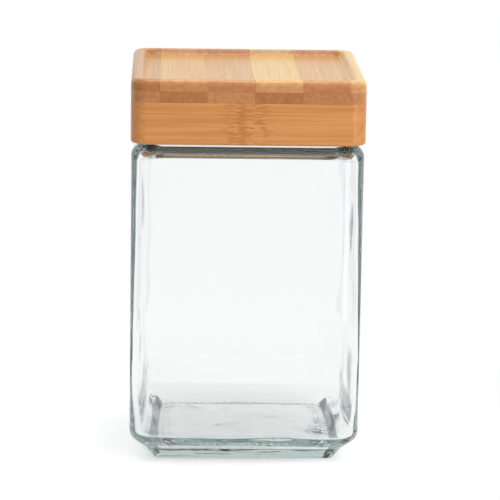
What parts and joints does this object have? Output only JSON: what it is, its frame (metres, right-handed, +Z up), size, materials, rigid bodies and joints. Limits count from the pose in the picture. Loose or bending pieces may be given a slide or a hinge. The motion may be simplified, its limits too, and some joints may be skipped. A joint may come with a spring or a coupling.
{
  "type": "food canister",
  "caption": "Square clear glass jar with a rounded shoulder and sloping heel, closed by a lift-off laminated bamboo lid with a stacking recess and a silicone seal.",
  "frame": {"origin": "middle of the base, on the surface that the jar stands on", "axes": "+Z up, -Y is the front, where the ends of the lid's strips show, +X to the right"},
  "size_m": [0.1084, 0.1084, 0.1827],
  "materials": {
    "clear_glass": "polished",
    "bamboo_light": "satin",
    "bamboo_mid": "satin",
    "bamboo_dark": "satin",
    "bamboo_rail": "satin",
    "bamboo_board": "satin",
    "silicone": "matte"
  },
  "bodies": {
    "jar": {"glass_jar": "clear_glass"},
    "lid": {"top_strip_1": "bamboo_dark", "top_strip_2": "bamboo_mid", "top_strip_3": "bamboo_mid", "top_strip_4": "bamboo_light", "top_strip_5": "bamboo_mid", "top_strip_6": "bamboo_light", "lower_strip_1": "bamboo_mid", "lower_strip_2": "bamboo_dark", "lower_strip_3": "bamboo_light", "lower_strip_4": "bamboo_dark", "lower_strip_5": "bamboo_mid", "lower_strip_6": "bamboo_mid", "skirt_front": "bamboo_rail", "skirt_back": "bamboo_rail", "skirt_left": "bamboo_rail", "skirt_right": "bamboo_rail", "core_strip_1": "bamboo_board", "core_strip_2": "bamboo_board", "core_strip_3": "bamboo_board", "core_strip_4": "bamboo_board", "core_strip_5": "bamboo_board", "plug_strip_1": "bamboo_board", "plug_strip_2": "bamboo_board", "plug_strip_3": "bamboo_board", "plug_strip_4": "bamboo_board", "gasket": "silicone"}
  },
  "joints": [
    {"name": "lid_lift", "type": "slide", "parent": "jar", "child": "lid", "axis": [0, 0, 1], "range_m": [0, 0.12]}
  ]
}
